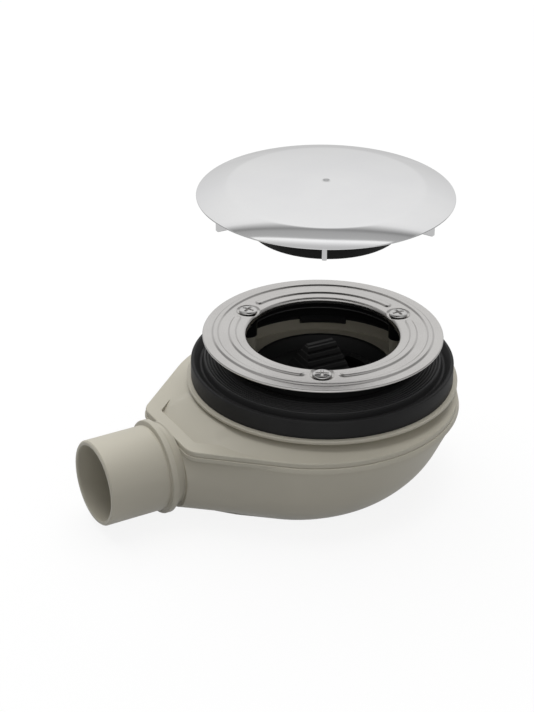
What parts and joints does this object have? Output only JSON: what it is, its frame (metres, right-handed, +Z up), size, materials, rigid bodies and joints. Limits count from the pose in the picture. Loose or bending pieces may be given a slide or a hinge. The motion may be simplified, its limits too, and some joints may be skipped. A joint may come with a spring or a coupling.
{
  "type": "shower trap",
  "caption": "Low shower-tray trap: domed cover lifted off a pressed clamping flange, ribbed tray seal and a two-shell bowl with a lift-out insert and a side outlet spigot.",
  "frame": {"origin": "on the inlet's axis, in the plane of the bowl's flat base", "axes": "+Z up along the inlet's axis, -X along the outlet spigot, towards its open end"},
  "size_m": [0.186, 0.1392, 0.149],
  "materials": {
    "plated": "bright plated, soft reflections",
    "stainless": "satin pressed sheet",
    "black_plastic": "satin moulded",
    "black_rubber": "matte moulded",
    "body_plastic": "satin moulded"
  },
  "bodies": {
    "root": {"cover": "plated", "plug_ring": "black_plastic", "clamping_flange": "stainless", "flange_screws": "stainless", "neck_sleeve": "black_plastic", "tray_seal": "black_rubber", "upper_shell": "body_plastic", "lower_shell": "body_plastic", "trap_insert": "black_plastic", "insert_o_ring": "black_rubber"}
  },
  "joints": []
}
